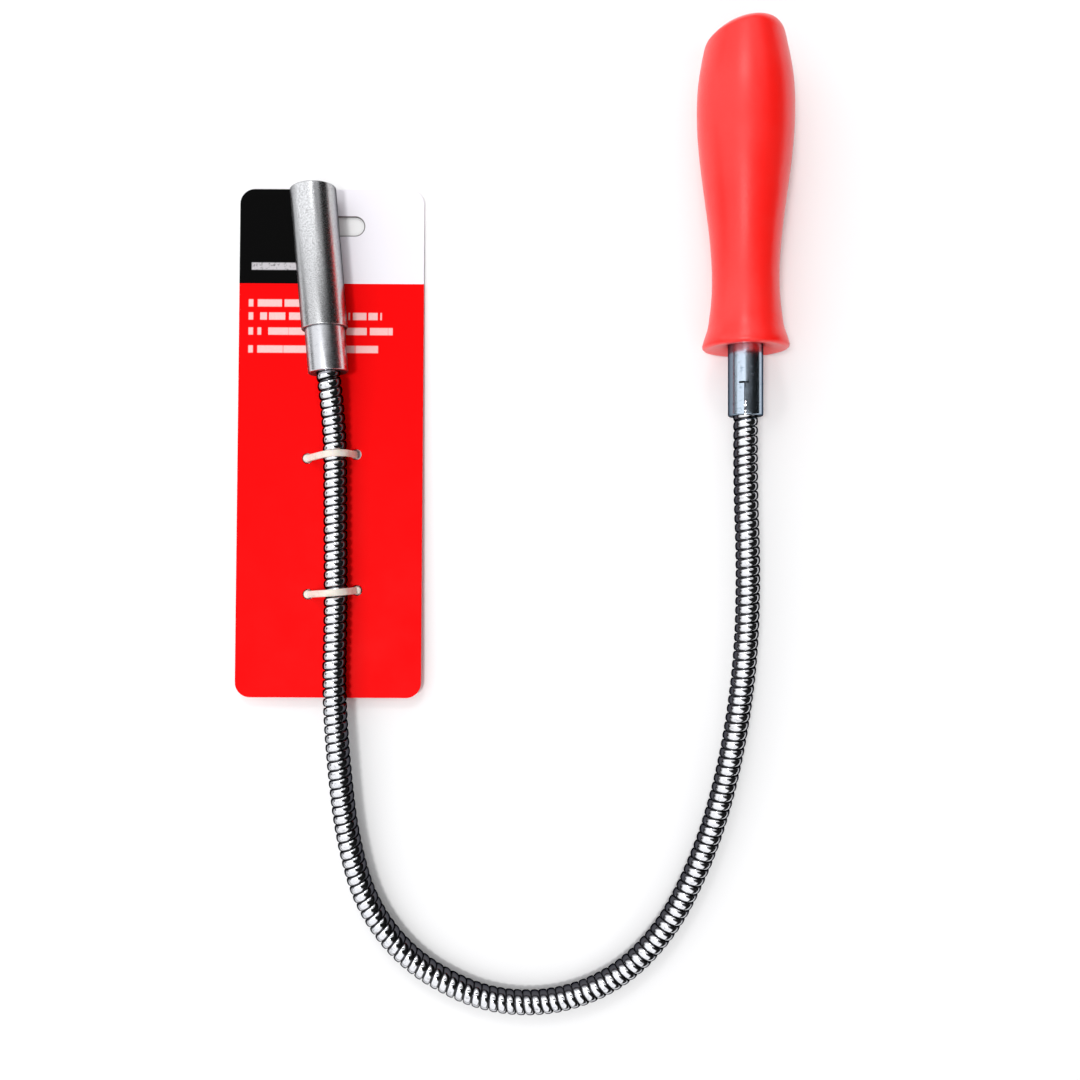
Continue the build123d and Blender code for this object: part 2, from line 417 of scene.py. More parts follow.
@dataclass(frozen=True)
class BrightMetal(Finish):
    """Bright metal with marks that run one way, a few dull spots, and, where it is given sides, painted shade down
    its sides.

    Attributes:
        colour: The clean metal.
        dull: The metal where it is tarnished.
        smooth: Roughness where it is clean.
        rough: Roughness where it is worn.
        streak: Scales of the marks, across and along.
        depth: Depth of the marks in metres.
        speck: Scale of the spots.
        specks: The noise between which a spot grows.
        wear: How much the marks and the spots dull it.
        sides: Painted shade, the colour that the metal turns down its sides, where its surface faces down and
            sideways.
        low: How far a surface faces up, from 1 to -1, where the painted shade starts and where it is full.
    """

    colour: Colour = rgb(0.80, 0.81, 0.83)
    dull: Colour = rgb(0.60, 0.60, 0.61)
    smooth: float = 0.10
    rough: float = 0.30
    streak: tuple[float, float] = (200.0, 6000.0)
    depth: float = 0.000002
    speck: float = 650.0
    specks: tuple[float, float] = (0.5, 0.78)
    wear: tuple[float, float] = (0.55, 0.6)
    sides: Colour | None = None
    low: tuple[float, float] = (0.84, 0.60)

    def varying(self, tree: Tree) -> dict[str | int, Input]:
        """Marked, spotted metal, with painted shade down its sides where it is given any.

        Args:
            tree: The material's tree.

        Returns:
            Links for the shader's sockets.
        """
        streaks = tree.noise(1.0, tree.stretched(*self.streak), detail=4.0, roughness=0.6)
        spots = tree.noise(self.speck, detail=5.0, roughness=0.65).ramp(*self.specks)
        worn = self.wear[0] * streaks + self.wear[1] * spots
        metal = tree.mix(worn.ramp(0.2, 1.0), self.colour, self.dull)
        # painted shade: the metal darkens where its surface faces down and sideways
        if self.sides is not None:
            metal = tree.mix(tree.upward().ramp(*self.low), metal, self.sides)
        return {
            "Base Color": metal,
            "Roughness": self.smooth + (self.rough - self.smooth) * worn,
            "Normal": tree.bump(streaks + spots, self.depth),
        }


@dataclass(frozen=True)
class PrintedCard(Finish):
    """Coated board, printed in three flat areas with rows of plain bars, with a painted shadow round its hanging
    slot.

    Places and sizes are in metres from the card's lower left corner.

    Attributes:
        split: How far up the lower print reaches.
        seam: How far across the dark block reaches.
        red: The lower print.
        black: The dark block.
        white: The bare board.
        bar: The bars on the lower print.
        title: The bar on the dark block.
        bars: Height, start and end of each row on the lower print.
        title_bar: The same for the row on the dark block.
        bar_height: How high a row is.
        bullet: Start and end of the short bar before each row.
        fade: How far a bar's ends take to fade.
        letters: Scale of the breaks in a row.
        gaps: The noise between which a break grows.
        hang_slot: The middle of the hanging slot.
        slot_half: Half the length of its straight sides.
        slot_radius: The radius of its ends.
        cut: Painted shadow, the dark ring round the slot's cut edge.
        slot_shadow_reach: How far from the cut edge the painted shadow ends and starts.
        depth: Depth of the rubbed gloss.
    """

    split: float = 0.1284
    seam: float = 0.027
    red: Colour = rgb(0.95, 0.001, 0.002)
    black: Colour = rgb(0.001, 0.001, 0.001)
    white: Colour = rgb(0.90, 0.88, 0.93)
    bar: Colour = rgb(0.95, 0.62, 0.60)
    title: Colour = rgb(0.55, 0.53, 0.55)
    bars: tuple[tuple[float, float, float], ...] = (
        (0.1223, 0.0056, 0.0220),
        (0.1182, 0.0056, 0.0446),
        (0.1135, 0.0056, 0.0486),
        (0.1079, 0.0056, 0.0435),
    )
    title_bar: tuple[float, float, float] = (0.1338, 0.0036, 0.0215)
    bar_height: float = 0.0021
    bullet: tuple[float, float] = (0.0028, 0.0046)
    fade: float = 0.0004
    letters: float = 620.0
    gaps: tuple[float, float] = (0.66, 0.63)
    hang_slot: tuple[float, float] = (0.0287, 0.1464)
    slot_half: float = 0.0071
    slot_radius: float = 0.0029
    cut: Colour = rgb(0.16, 0.15, 0.15)
    slot_shadow_reach: tuple[float, float] = (0.00042, 0.00018)
    depth: float = 0.00008

    def row(self, across: Value, up: Value, at: float, start: float, end: float) -> Value:
        """A soft-cornered bar.

        Args:
            across: The first card coordinate.
            up: The second.
            at: The bar's height on the card.
            start: Where it starts.
            end: Where it ends.

        Returns:
            1 on the bar and 0 off it.
        """
        high = abs(up - at).ramp(self.bar_height * 0.62, self.bar_height * 0.45)
        return high * across.window(start, start + self.fade, end - self.fade, end)

    def words(self, tree: Tree, across: Value, number: int) -> Value:
        """Breaks a row into lengths like words.

        Args:
            tree: The material's tree.
            across: The first card coordinate.
            number: The row's number, which sets where its breaks are.

        Returns:
            1 where the row shows and 0 in its breaks.
        """
        letters = tree.node("ShaderNodeCombineXYZ", inputs={0: across * self.letters, 1: 7.3 * number})
        return tree.noise(1.0, letters, detail=0.0).ramp(*self.gaps)

    def slot_shadow_ring(self, across: Value, up: Value) -> Value:
        """Painted shadow round the hanging slot's cut edge.

        Args:
            across: The first card coordinate.
            up: The second.

        Returns:
            1 at the cut edge, where the shadow is painted, and 0 away from it.
        """
        past = (abs(across - self.hang_slot[0]) - self.slot_half).larger(0.0)
        rise = up - self.hang_slot[1]
        return abs((past * past + rise * rise) ** 0.5 - self.slot_radius).ramp(*self.slot_shadow_reach)

    def varying(self, tree: Tree) -> dict[str | int, Input]:
        """The print, with a faint mottle, rubbed gloss and a painted shadow round the hanging slot.

        Args:
            tree: The material's tree.

        Returns:
            Links for the shader's sockets.
        """
        across, up = tree.along()
        mottle = tree.noise(1400.0, detail=3.0)
        rub = tree.noise(90.0, detail=6.0, roughness=0.6)
        head = tree.mix(across < self.seam, self.white, self.black)
        colour = tree.mix(up > self.split, self.red, head)
        marks = None
        for number, (at, start, end) in enumerate(self.bars):
            row = self.row(across, up, at, start, end) * self.words(tree, across, number)
            row = row.larger(self.row(across, up, at, *self.bullet))
            marks = row if marks is None else marks.larger(row)
        title = self.row(across, up, *self.title_bar) * mottle.ramp(0.2, 0.5)
        colour = tree.mix(marks * (0.8 + 0.2 * mottle), colour, self.bar)
        colour = tree.mix(title, colour, self.title)
        return {
            # painted shadow: a dark ring round the hanging slot's edge
            "Base Color": tree.mix(self.slot_shadow_ring(across, up), colour, self.cut),
            "Roughness": 0.34 + 0.2 * rub,
            "Normal": tree.bump(rub, self.depth),
        }


@dataclass(frozen=True)
class Strap(Finish):
    """Natural nylon, off-white and slightly uneven.

    Attributes:
        clean: The clean plastic.
        grimy: The plastic where it is grimy.
        grime: Scale of the grime.
        grain: Scale of the waxy grain.
        depth: Depth of the grain in metres.
    """

    clean: Colour = rgb(0.80, 0.74, 0.66)
    grimy: Colour = rgb(0.66, 0.58, 0.50)
    grime: float = 700.0
    grain: float = 4000.0
    depth: float = 0.00002

    def varying(self, tree: Tree) -> dict[str | int, Input]:
        """Slightly grimy plastic with a waxy gloss.

        Args:
            tree: The material's tree.

        Returns:
            Links for the shader's sockets.
        """
        grime = tree.noise(self.grime, detail=5.0).ramp(0.45, 0.75)
        grain = tree.noise(self.grain)
        return {
            "Base Color": tree.mix(grime, self.clean, self.grimy),
            "Roughness": 0.38 + 0.2 * grain,
            "Normal": tree.bump(grain, self.depth),
        }


@dataclass(frozen=True)
class CoveringWire(BrightMetal):
    """Bright wire with painted shade down its flanks, between the turns.

    Attributes:
        crown: The middle of the crown and half its width, in metres round the wire's section.
        flank_shade: Painted shade down the flanks, between the turns.
        edge: How far it takes to darken, in metres.
    """

    crown: tuple[float, float] = (0.00315, 0.00108)
    flank_shade: Colour = rgb(0.04, 0.04, 0.045)
    edge: float = 0.00028

    def varying(self, tree: Tree) -> dict[str | int, Input]:
        """Marked metal with painted shade down the flanks.

        Args:
            tree: The material's tree.

        Returns:
            Links for the shader's sockets.
        """
        links = super().varying(tree)
        round_it, _ = tree.along()
        # painted shade between the turns: the wire darkens past the edges of its crown
        down = abs(round_it - self.crown[0]).ramp(self.crown[1], self.crown[1] + self.edge)
        links["Base Color"] = tree.mix(down, links["Base Color"], self.flank_shade)
        return links


# painted shade: the dark Specular Tint darkens the rims of every metal at glancing angles
METAL = {"Metallic": 1.0, "Specular Tint": rgb(0.05, 0.05, 0.06)}
GRIP = MouldedGrip("moulded_grip", Slot.GRIP, {
    "Specular IOR Level": 0.6, "Subsurface Weight": 0.35,
    "Subsurface Radius": (1.0, 0.12, 0.08), "Subsurface Scale": 0.006,
})
# painted shade: the ferrule's sides are darker where its surface faces down and sideways
FERRULE = BrightMetal(
    "plated_ferrule", Slot.FERRULE, METAL,
    colour=rgb(0.62, 0.73, 0.85), dull=rgb(0.26, 0.33, 0.42), smooth=0.14, rough=0.34,
    sides=rgb(0.20, 0.25, 0.31), low=(0.80, 0.50),
)
# painted shade: the wire's sides and its flanks between the turns
WIRE = CoveringWire(
    "wound_wire_steel", Slot.COIL, METAL,
    colour=rgb(0.90, 0.91, 0.94), dull=rgb(0.42, 0.42, 0.45), smooth=0.08, rough=0.18, streak=(150.0, 9000.0),
    sides=rgb(0.07, 0.07, 0.08),
)
CORE = BrightMetal(
    "core_wire_steel", Slot.CORE, METAL,
    colour=rgb(0.10, 0.10, 0.11), dull=rgb(0.04, 0.04, 0.045), smooth=0.25, rough=0.5, streak=(150.0, 9000.0),
)
COLLAR = BrightMetal(
    "machined_collar", Slot.COLLAR, METAL,
    colour=rgb(0.68, 0.69, 0.72), dull=rgb(0.42, 0.43, 0.46), smooth=0.22, rough=0.42, streak=(300.0, 9000.0),
)
SLEEVE = BrightMetal(
    "satin_sleeve", Slot.SLEEVE, METAL,
    colour=rgb(0.66, 0.67, 0.68), dull=rgb(0.36, 0.36, 0.37), smooth=0.18, rough=0.34, streak=(9000.0, 300.0),
    depth=0.000004, speck=3200.0, specks=(0.38, 0.66),
)
KEEPER = BrightMetal(
    "mild_keeper", Slot.KEEPER, METAL,
    colour=rgb(0.45, 0.45, 0.46), dull=rgb(0.25, 0.24, 0.23), smooth=0.35, rough=0.6,
)
MAGNET = BrightMetal(
    "plated_magnet", Slot.MAGNET, METAL,
    colour=rgb(0.62, 0.62, 0.62), dull=rgb(0.30, 0.29, 0.28), smooth=0.22, rough=0.5, streak=(500.0, 500.0),
)
CARD = PrintedCard("printed_board", Slot.CARD, {"Specular IOR Level": 0.03})
TIE = Strap("natural_nylon", Slot.TIE, {"Subsurface Weight": 0.15, "Subsurface Scale": 0.0008})


# ---------------------------------------------------------------------------------------------------------
# Mesh building
# ---------------------------------------------------------------------------------------------------------


class Draft:
    """A mesh in the making, with surface coordinates in metres."""

    def __init__(self) -> None:
        """Starts an empty mesh."""
        self.points: list[Vector] = []
        self.faces: list[tuple[int, ...]] = []
        self.runs: list[tuple[tuple[float, float], ...]] = []

    def skin(self, rows: Grid, closed: bool = True, looped: bool = False) -> list[list[int]]:
        """Covers rows of points with faces.

        Args:
            rows: The rows, all as long as each other.
            closed: Whether each row runs back to its first point.
            looped: Whether the last row runs back to the first.

        Returns:
            The points' numbers, row by row.
        """
        start = len(self.points)
        wide = len(rows[0])
        for row in rows:
            self.points.extend(row)
        numbers = [[start + i * wide + j for j in range(wide)] for i in range(len(rows))]
        edges = [(rows[0][(j + 1) % wide] - rows[0][j]).length for j in range(wide)]
        across = np.concatenate(([0.0], np.cumsum(edges)))
        steps = [(rows[(i + 1) % len(rows)][0] - rows[i][0]).length for i in range(len(rows))]
        along = np.concatenate(([0.0], np.cumsum(steps)))
        for i in range(len(rows) if looped else len(rows) - 1):
            k = (i + 1) % len(rows)
            for j in range(wide if closed else wide - 1):
                n = (j + 1) % wide
                self.faces.append((numbers[i][j], numbers[i][n], numbers[k][n], numbers[k][j]))
                u, v, p, q = across[j], across[j + 1], along[i], along[i + 1]
                self.runs.append(((u, p), (v, p), (v, q), (u, q)))
        return numbers

    def cap(self, ring: Sequence[int], flip: bool = False) -> None:
        """Closes a ring with one face.

        Args:
            ring: The ring's points, by number.
            flip: Whether the face looks the other way.
        """
        order = tuple(reversed(ring)) if flip else tuple(ring)
        self.faces.append(order)
        self.runs.append(tuple((self.points[n].x, self.points[n].y) for n in order))

    def piece(self, name: str, finish: Finish, sharp: float = 35.0) -> bpy.types.Object:
        """Makes the object.

        Args:
            name: The piece's name.
            finish: What it is finished in.
            sharp: Edges turn by more than this angle where they are creased, in degrees.

        Returns:
            The object, at the origin.
        """
        mesh = bpy.data.meshes.new(name)
        mesh.from_pydata([tuple(p) for p in self.points], [], self.faces)
        layer = mesh.uv_layers.new(name="run")
        layer.data.foreach_set("uv", np.array([c for face in self.runs for c in face], float).ravel())
        mesh.validate()
        shape = bmesh.new()
        shape.from_mesh(mesh)
        bmesh.ops.recalc_face_normals(shape, faces=shape.faces)
        shape.to_mesh(mesh)
        shape.free()
        mesh.polygons.foreach_set("use_smooth", [True] * len(mesh.polygons))
        mesh.set_sharp_from_angle(angle=math.radians(sharp))
        mesh.materials.append(finish.material())
        made = bpy.data.objects.new(name, mesh)
        bpy.context.scene.collection.objects.link(made)
        log.info("%s: %d faces, %s", name, len(mesh.polygons), finish.name)
        return made


@dataclass(frozen=True)
class Axis:
    """A straight line with a side and an up.

    Attributes:
        origin: Where it starts, in metres.
        ahead: Its direction.
    """

    origin: Vector
    ahead: Vector

    @property
    def side(self) -> Vector:
        """The level direction to its right."""
        return self.ahead.cross(UP).normalized()

    @property
    def top(self) -> Vector:
        """The direction across it that is nearest to up."""
        return self.side.cross(self.ahead).normalized()

    def at(self, along: float, radius: float, angle: float) -> Vector:
        """A point round the line.

        Args:
            along: How far along it, in millimetres.
            radius: How far from it, in millimetres.
            angle: How far round from its side towards its top, in radians.

        Returns:
            The point, in metres.
        """
        out = self.side * math.cos(angle) + self.top * math.sin(angle)
        return self.origin + MM * (along * self.ahead + radius * out)


def circle(sides: int) -> list[float]:
    """Angles evenly round a circle, in radians."""
    return [2 * math.pi * k / sides for k in range(sides)]


def turned(axis: Axis, profile: Outline, name: str, finish: Finish, sides: int = 96) -> bpy.types.Object:
    """A turned piece from the outline of its half.

    Args:
        axis: The line that it is turned about.
        profile: Distance along and radius of each outline point, closed by itself where it doesn't end at 0.
        name: The piece's name.
        finish: What it is finished in.
        sides: How many faces go round.

    Returns:
        The piece.
    """
    draft = Draft()
    angles = circle(sides)
    rows = [[axis.at(along, radius, a) for a in angles] for along, radius in profile if radius > 0]
    open_ends = profile[0][1] <= 0, profile[-1][1] <= 0
    numbers = draft.skin(rows, looped=not any(open_ends))
    if open_ends[0]:
        draft.cap(numbers[0], flip=True)
    if open_ends[1]:
        draft.cap(numbers[-1])
    return draft.piece(name, finish)


def rounded(points: Outline, radii: Sequence[float], steps: int = 4) -> list[tuple[float, float]]:
    """An outline with its corners rounded.

    Args:
        points: The corners.
        radii: How far from each corner its rounding starts.
        steps: How many edges a rounding has.

    Returns:
        The outline's points.
    """
    made: list[tuple[float, float]] = []
    count = len(points)
    for k, (corner, radius) in enumerate(zip(points, radii)):
        here = Vector(corner)
        if radius <= 0:
            made.append(tuple(here))
            continue
        before = (Vector(points[(k - 1) % count]) - here).normalized() * radius + here
        after = (Vector(points[(k + 1) % count]) - here).normalized() * radius + here
        for step in range(steps + 1):
            t = step / steps
            made.append(tuple(before * (1 - t) ** 2 + here * (2 * t * (1 - t)) + after * t**2))
    return made


# ---------------------------------------------------------------------------------------------------------
# Gooseneck
# ---------------------------------------------------------------------------------------------------------


@dataclass(frozen=True)
class Stretch:
    """A straight stretch of the neck at rest.

    Attributes:
        body: The body that it belongs to.
        name: What its coils' names end in.
        start: Its first end, in metres.
        end: Its last end.
        first_turn: How many turns come before it.
    """

    body: str
    name: str
    start: Vector
    end: Vector
    first_turn: float

    @property
    def turns(self) -> float:
        """How many turns it has."""
        return self.length / MM / PITCH

    @property
    def ahead(self) -> Vector:
        """Its direction."""
        return (self.end - self.start).normalized()

    @property
    def length(self) -> float:
        """Its length in metres."""
        return (self.end - self.start).length


class Centreline:
    """The neck's smooth middle line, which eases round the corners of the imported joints.

    Attributes:
        least: Half the span that the line is eased over at its ends, in metres.
        step: How far apart the points are that give its direction, in metres.
    """

    least: float = 0.0004
    step: float = 0.0002

    def __init__(self, corners: Sequence[Vector], ease: float) -> None:
        """Lays the line.

        Args:
            corners: The ferrule's mouth, each joint in turn and the collar's mouth, in metres.
            ease: How far from a corner its easing starts, in metres.
        """
        first = (corners[1] - corners[0]).normalized()
        last = (corners[-1] - corners[-2]).normalized()
        self.ease = ease
        self.before = 4 * ease
        corners = [corners[0] - first * self.before, *corners, corners[-1] + last * self.before]
        self.corners = np.array([tuple(corner) for corner in corners])
        steps = np.linalg.norm(np.diff(self.corners, axis=0), axis=1)
        self.reached = np.concatenate(([0.0], np.cumsum(steps)))
        middles = (self.corners[1:] + self.corners[:-1]) / 2
        self.summed = np.vstack((np.zeros(3), np.cumsum(middles * steps[:, None], axis=0)))
        self.length = self.reached[-1] - 2 * self.before

    def _corner_line(self, reach: float) -> np.ndarray:
        """The point of the cornered line at a distance from its start."""
        return np.array([np.interp(reach, self.reached, self.corners[:, k]) for k in range(3)])

    def _sum(self, reach: float) -> np.ndarray:
        """The cornered line's points, summed over the distance from its start.

        Args:
            reach: The distance.

        Returns:
            The sum of the points, times the distance that each stands for.
        """
        k = int(np.clip(np.searchsorted(self.reached, reach, side="right") - 1, 0, len(self.reached) - 2))
        rest = reach - self.reached[k]
        return self.summed[k] + (self.corners[k] + self._corner_line(reach)) / 2 * rest

    def point(self, distance: float) -> Vector:
        """A point of the eased line.

        Args:
            distance: How far from the ferrule's mouth, in metres.

        Returns:
            The mean of the cornered line round there, over a span that narrows towards both ends.
        """
        ends = max(distance, 0.0), max(self.length - distance, 0.0)
        span = min(self.ease, *(end + self.least for end in ends))
        reach = distance + self.before
        return Vector((self._sum(reach + span) - self._sum(reach - span)) / (2 * span))

    def axis(self, distance: float) -> Axis:
        """The line's place and direction.

        Args:
            distance: How far from the ferrule's mouth, in metres.

        Returns:
            An axis there.
        """
        ahead = self.point(distance + self.step) - self.point(distance - self.step)
        return Axis(self.point(distance), ahead.normalized())


def ferrule_mouth() -> Vector:
    """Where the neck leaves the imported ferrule."""
    low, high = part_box("handle_ferrule")
    return Vector(((low.x + high.x) / 2, low.y, (low.z + high.z) / 2))


def head_direction() -> Vector:
    """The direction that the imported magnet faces."""
    return Vector(frame["record"]["mounts"][0]["axis"])


@dataclass
class Gooseneck:
    """Two wires wound into each other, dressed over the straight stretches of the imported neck.

    Attributes:
        outer: The outer wire's section, as offsets along the neck and distances from its axis.
        core_radius: How far the round wire's middle is from the neck's axis.
        core_wire: The round wire's own radius.
        core_sides: Points round the round wire's section.
        steps: Points in a turn of the outer wire.
        core_steps: Points in a turn of the round wire.
        reach: Turns that a bending piece takes on each side of its joint, at most.
        lopsided: How many times longer one side of a bend may be than the other, which would bulge at the hinge.
        tucked: Turns that run on into the ferrule and the collar.
        shortest: Turns below which no wire is made.
        stretches: The straight stretches of the neck.
        line: The line that the wires follow.
    """

    outer: Outline = (
        (0.0, 1.95), (-0.55, 2.40), (-1.02, 2.75), (-1.20, 2.98), (-1.22, 3.16), (-1.11, 3.34), (-0.87, 3.49),
        (-0.46, 3.60), (0.0, 3.64), (0.46, 3.60), (0.87, 3.49), (1.11, 3.34), (1.22, 3.16), (1.20, 2.98),
        (1.02, 2.75), (0.55, 2.40),
    )
    core_radius: float = 2.05
    core_wire: float = 0.82
    core_sides: int = 8
    steps: int = 28
    core_steps: int = 20
    reach: float = 4.0
    lopsided: float = 4.0
    tucked: float = 1.5
    shortest: float = 0.1
    stretches: list[Stretch] = field(default_factory=list)
    line: Centreline | None = None

    def lay_out(self) -> None:
        """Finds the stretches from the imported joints, the ferrule's mouth and the magnet's face."""
        joints = {joint["parent"]: joint for joint in frame["joints"]}
        here = ferrule_mouth()
        body, turn = "handle", 0.0
        while body in joints:
            there = Vector(joints[body]["pos_m"])
            self.stretches.append(Stretch(body, self.coil_of(body), here, there, turn))
            turn += round((there - here).length / (PITCH * MM))
            body, here = joints[body]["child"], there
        end = here + head_direction() * PITCH * MM
        self.stretches.append(Stretch(body, self.coil_of(body), here, end, turn))
        corners = [stretch.start for stretch in self.stretches] + [self.stretches[-1].end]
        self.line = Centreline(corners, self.reach * PITCH * MM)

    @staticmethod
    def coil_of(body: str) -> str:
        """What the names of a body's coils end in."""
        members = frame["record"]["behaviour"]["bodies"][body]
        return next(m for m in members if m.startswith("outer_coil_")).removeprefix("outer_coil_")

    def wire(
        self, start: float, end: float, section: Outline, steps: int, offset: float, name: str, finish: Finish
    ) -> bpy.types.Object:
        """Winds a wire along a part of the neck.

        Args:
            start: Where it starts, in turns from the ferrule's mouth.
            end: Where it ends.
            section: The wire's section, as offsets along the neck and distances from its axis, in millimetres.
            steps: Points in a turn.
            offset: How much of a turn the wire lies behind the outer wire's crest.
            name: The piece's name.
            finish: What it is finished in.

        Returns:
            The piece.
        """
        count = max(2, round((end - start) * steps))
        rows = []
        for k in range(count + 1):
            turn = start + (end - start) * k / count
            axis = self.line.axis(turn * PITCH * MM)
            angle = -2 * math.pi * (turn - offset)
            rows.append([axis.at(along, radius, angle) for along, radius in section])
        draft = Draft()
        numbers = draft.skin(rows)
        draft.cap(numbers[0], flip=True)
        draft.cap(numbers[-1])
        return draft.piece(name, finish, sharp=50.0)

    def wires(self, start: float, end: float, name: str) -> tuple[bpy.types.Object, bpy.types.Object]:
        """Both wires along a part of the neck.

        Args:
            start: Where they start, in turns from the ferrule's mouth.
            end: Where they end.
            name: What their names end in.

        Returns:
            The outer wire and the round wire.
        """
        ring = circle(self.core_sides)
        core = [(self.core_wire * math.sin(a), self.core_radius - self.core_wire * math.cos(a)) for a in ring]
        return (
            self.wire(start, end, self.outer, self.steps, 0.0, "outer_wire_" + name, WIRE),
            self.wire(start, end, core, self.core_steps, 0.5, "core_wire_" + name, CORE),
        )

    def bending(self, before: Stretch, after: Stretch) -> None:
        """Wires that run from one stretch into the next round the corner between them, in place of the imported
        coils, and are given to no body.

        Args:
            before: The stretch on the handle's side.
            after: The stretch on the head's side.
        """
        turns = [min(self.reach, stretch.turns / 2) for stretch in (before, after)]
        made = self.wires(after.first_turn - turns[0], after.first_turn + turns[1], after.name)
        near = self.lopsided * min(turns)
        start = before.end - before.ahead * min(turns[0], near) * PITCH * MM
        end = after.start + after.ahead * min(turns[1], near) * PITCH * MM
        for piece, node in zip(made, ("outer_coil_", "inner_coil_")):
            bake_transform(piece)
            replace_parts(piece, node + after.name)

    def straight(self, stretch: Stretch) -> None:
        """Wires between the bending ones, which only move with their stretch.

        Args:
            stretch: The stretch.
        """
        start = min(self.reach, stretch.turns / 2)
        end = stretch.turns - start
        if stretch is self.stretches[0]:
            start = -self.tucked
        if stretch is self.stretches[-1]:
            end = stretch.turns + self.tucked
        if end - start < self.shortest:
            return
        made = self.wires(stretch.first_turn + start, stretch.first_turn + end, stretch.name + "_straight")
        for piece, node in zip(made, ("outer_coil_", "inner_coil_")):
            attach(piece, stretch.body)
            if stretch is self.stretches[0]:
                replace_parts(piece, node + stretch.name)

    def build(self) -> None:
        """Makes every wire."""
        self.lay_out()
        for before, after in zip(self.stretches, self.stretches[1:]):
            self.bending(before, after)
        for stretch in self.stretches:
            self.straight(stretch)


# ---------------------------------------------------------------------------------------------------------
# Handle
# ---------------------------------------------------------------------------------------------------------


@dataclass
class Handle:
    """The moulded grip on its plated ferrule, along +Y from the ferrule's mouth.

    Sizes are in millimetres and angles in degrees.

    Attributes:
        ferrule_radius: The ferrule's outer radius.
        bore: Its inner radius.
        chamfers: How much smaller it is at each of its first lines.
        shown: How much of it shows.
        seated: How much of the rest is made.
        slit_width: Width of both slits.
        slit_length: Length of the slit that runs along it.
        cross_slit: Length of the slit that runs round it.
        slit_turn: How far round from the top they are.
        length: The grip's length.
        mouth: Distance from the grip's mouth and radius of its rounded rim.
        stations: The same of its side.
        closing: How steeply the side closes towards the butt.
        butt_rounding: Radius of the butt's rounded edge.
        dome_radius: Radius of the butt's dome.
        dome_offset: How far to the side the dome's middle is.
        dome_drop: How far short of the length the dome's top is.
        softness: How far from their crossing the dome and the side are blended.
        sides: How many faces go round the grip.
    """

    ferrule_radius: float = 5.15
    bore: float = 3.7
    chamfers: Sequence[float] = (0.35, 0.12, 0.0)
    shown: float = 19.9
    seated: float = 8.0
    slit_width: float = 0.6
    slit_length: float = 9.5
    cross_slit: float = 3.6
    slit_turn: float = 13.0
    length: float = 98.0
    mouth: Outline = (
        (2.6, 5.1), (1.4, 5.2), (0.95, 6.1), (0.45, 8.6), (0.10, 10.9), (0.0, 11.6), (0.18, 12.3), (0.55, 12.68),
    )
    stations: Outline = (
        (1.1, 12.78), (3.2, 12.18), (5.23, 11.45), (10.56, 10.52), (15.95, 10.0), (21.37, 9.87), (26.78, 10.04),
        (32.18, 10.45), (37.56, 11.04), (42.93, 11.72), (48.3, 12.44), (53.67, 13.13), (59.05, 13.72),
        (64.44, 14.15), (69.85, 14.33), (75.27, 14.24), (80.66, 13.78), (86.0, 12.9),
    )
    closing: float = 0.205
    butt_rounding: float = 7.5
    dome_radius: float = 18.8
    dome_offset: float = 2.9
    dome_drop: float = 0.3
    softness: float = 2.2
    sides: int = 120

    def axis(self) -> Axis:
        """The handle's line, from the ferrule's mouth."""
        return Axis(ferrule_mouth(), Vector((0, 1, 0)))

    def butt_outline(self) -> list[tuple[float, float]]:
        """The butt's turned outline from the side's last station to the axis.

        Returns:
            Distance from the mouth and radius of each point.
        """
        start, radius = self.stations[-1]
        lean = math.atan(self.closing)
        rim = radius - self.closing * (self.length - start)
        back = self.butt_rounding / math.tan((math.pi / 2 + lean) / 2)
        middle = Vector((self.length - self.butt_rounding, rim - back))
        line = [Vector((start, radius)).lerp(Vector((self.length, rim)), k * 0.12) for k in range(1, 5)]
        for turn in np.linspace(math.pi / 2 - lean, 0, 16):
            line.append(middle + self.butt_rounding * Vector((math.cos(turn), math.sin(turn))))
        line += [Vector((self.length, (rim - back) * (1 - k / 6))) for k in range(1, 6)]
        return [tuple(point) for point in line]

    def domed(self, along: float, radius: float, angle: float) -> float:
        """How far along a point of the butt lies, once the leaning dome has cut it.

        Args:
            along: Where the turned outline has it, from the mouth.
            radius: Its distance from the axis.
            angle: How far round it is.

        Returns:
            Its distance from the mouth.
        """
        off = math.hypot(radius * math.cos(angle) - self.dome_offset, radius * math.sin(angle))
        rise = math.sqrt(max(self.dome_radius**2 - off**2, 0.0))
        top = self.length - self.dome_drop - self.dome_radius + rise
        gap = max(self.softness - abs(along - top), 0.0) / self.softness
        return min(along, top) - gap**3 * self.softness / 6

    def grip(self) -> bpy.types.Object:
        """Makes the grip.

        Returns:
            The piece.
        """
        axis = self.axis()
        angles = circle(self.sides)
        outline = [*self.mouth, *self.smooth_side()]
        rows = [[axis.at(self.shown + y, r, a) for a in angles] for y, r in outline]
        for along, radius in self.butt_outline():
            rows.append([axis.at(self.shown + self.domed(along, radius, a), radius, a) for a in angles])
        draft = Draft()
        numbers = draft.skin(rows)
        draft.points.append(axis.at(self.shown + self.domed(self.length, 0.0, 0.0), 0.0, 0.0))
        last, tip = numbers[-1], len(draft.points) - 1
        for j in range(self.sides):
            draft.faces.append((last[j], last[(j + 1) % self.sides], tip))
            draft.runs.append(((0.0, 0.0), (0.001, 0.0), (0.0, 0.001)))
        made = draft.piece("grip_body", GRIP, sharp=60.0)
        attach(made, "handle")
        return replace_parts(made, "handle_grip")

